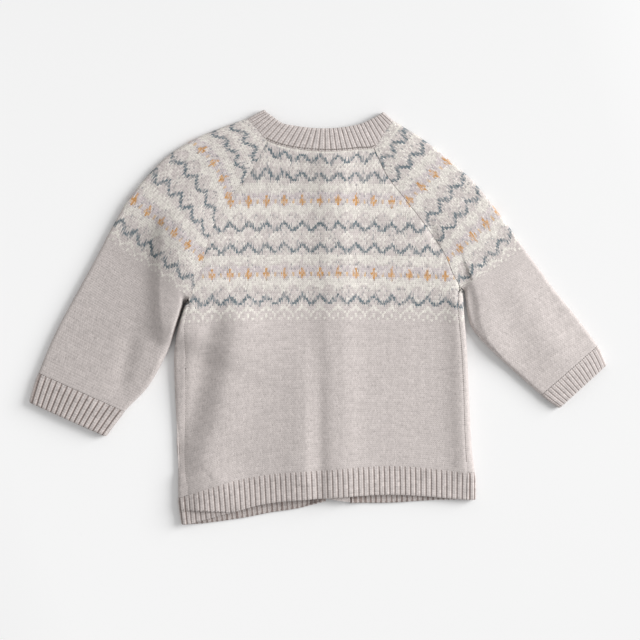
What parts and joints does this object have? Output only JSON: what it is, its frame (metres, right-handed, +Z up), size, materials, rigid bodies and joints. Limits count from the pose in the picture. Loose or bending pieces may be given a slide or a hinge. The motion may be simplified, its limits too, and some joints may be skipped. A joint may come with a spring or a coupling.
{
  "type": "fair isle cardigan",
  "caption": "Baby's raglan cardigan in soft heathered knit with a fair isle yoke and ribbed edges, laid flat on its buttoned front with the back up.",
  "frame": {"origin": "middle of the laid-out cardigan's box, on the surface that it lies on", "axes": "+X from the cuff at the left of the picture to the cuff at its right, +Y from the hem to the neck, +Z up out of the cloth"},
  "size_m": [0.51, 0.367, 0.0145],
  "materials": {
    "knit": "heathered stockinette knit with a fair isle yoke, matt",
    "rib": "one by one ribbed knit, matt",
    "band": "fine ribbed knit band, matt",
    "button": "satin"
  },
  "bodies": {
    "root": {"back": "knit", "back_hem": "rib", "front_left": "knit", "front_left_hem": "rib", "front_right": "knit", "front_right_hem": "rib", "sleeve_left": "knit", "cuff_left": "rib", "sleeve_right": "knit", "cuff_right": "rib", "neckband": "rib", "button_band": "band", "buttonhole_band": "band", "button_1": "button", "button_2": "button", "button_3": "button", "button_4": "button", "button_5": "button", "button_6": "button"}
  },
  "joints": []
}
